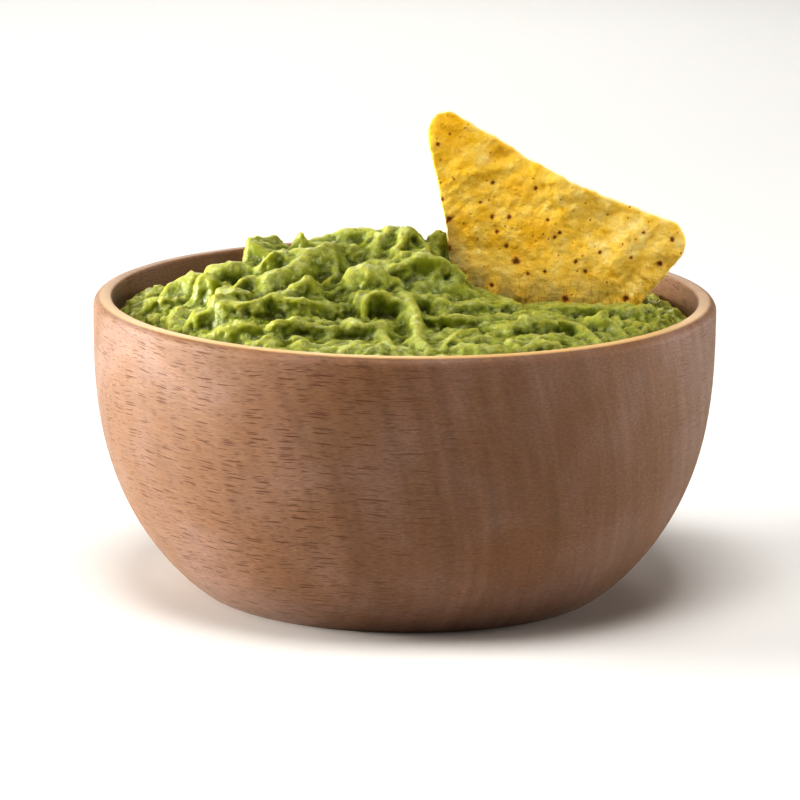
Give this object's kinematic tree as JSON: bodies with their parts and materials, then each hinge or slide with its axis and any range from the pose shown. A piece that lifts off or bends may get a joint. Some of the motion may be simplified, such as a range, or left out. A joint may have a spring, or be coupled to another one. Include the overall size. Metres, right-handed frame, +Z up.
{
  "type": "guacamole in a wooden bowl",
  "caption": "Mashed avocado dip heaped in folds in a round turned wooden bowl, with a tortilla chip standing in it.",
  "frame": {"origin": "centre of the bowl's foot, on the surface it stands on", "axes": "+Z up along the bowl's axis, -Y towards the front, from which the chip shows its broad face, and +X to the chip's side"},
  "size_m": [0.13, 0.13, 0.1001],
  "materials": {
    "beech": "oiled, fine turned surface",
    "mashed_avocado": "soft moist mash with wet highlights",
    "fried_corn": "dry fried corn dough with brown specks"
  },
  "bodies": {
    "root": {"bowl": "beech", "guacamole": "mashed_avocado", "tortilla_chip": "fried_corn"}
  },
  "joints": []
}
